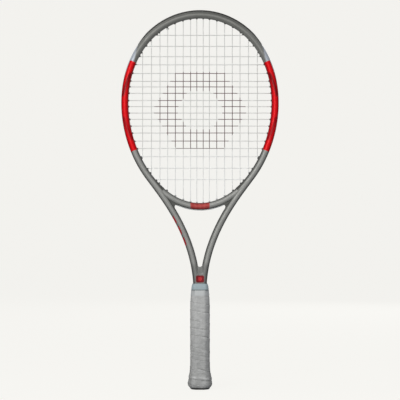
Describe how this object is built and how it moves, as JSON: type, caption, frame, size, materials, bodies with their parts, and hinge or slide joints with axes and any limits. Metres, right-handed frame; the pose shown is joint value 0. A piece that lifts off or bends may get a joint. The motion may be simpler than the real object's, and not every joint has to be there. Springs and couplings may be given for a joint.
{
  "type": "tennis racket",
  "caption": "Strung tennis racket with an egg-shaped head, open V throat, bumper guard, grommet strips, rubber collar and a wrapped octagonal grip.",
  "frame": {"origin": "centre of the butt end, on the plane of the butt cap's rim", "axes": "+Z from the butt to the tip of the head, +X to the right seen from the front face, Y through the beam; the string plane is y = 0 and the front face looks along -Y"},
  "size_m": [0.2848, 0.0406, 0.6858],
  "materials": {
    "frame_paint": "satin warm grey lacquer with red side panels over a carbon laminate",
    "guard": "matte dark grey nylon",
    "string": "pale translucent multifilament with a dark red stencil",
    "handle_foam": "rigid polyurethane foam",
    "cap": "moulded plastic, fine satin",
    "staple_steel": "bright wire",
    "grip": "grey perforated cushion wrap, matte",
    "tape": "light grey adhesive tape",
    "collar_rubber": "soft moulded rubber"
  },
  "bodies": {
    "racket": {"frame": "frame_paint", "bridge": "frame_paint", "bumper_guard": "guard", "grommet_strip_right": "guard", "grommet_strip_left": "guard", "bridge_grommet_strip": "guard", "main_string": "string", "cross_string": "string", "pallet_front": "handle_foam", "pallet_back": "handle_foam", "leg_foam_left": "handle_foam", "leg_foam_right": "handle_foam", "butt_cap": "cap", "butt_cap_staple_left": "staple_steel", "butt_cap_staple_right": "staple_steel", "grip_tack": "staple_steel", "grip": "grip", "finishing_tape": "tape"},
    "collar": {"collar": "collar_rubber"},
    "door": {"butt_cap_door": "cap"}
  },
  "joints": [
    {"name": "collar_slide", "type": "slide", "parent": "racket", "child": "collar", "axis": [0, 0, 1], "range_m": [0, 0.003]},
    {"name": "butt_cap_door_pull", "type": "slide", "parent": "racket", "child": "door", "axis": [0, 0, -1], "range_m": [0, 0.015]}
  ]
}
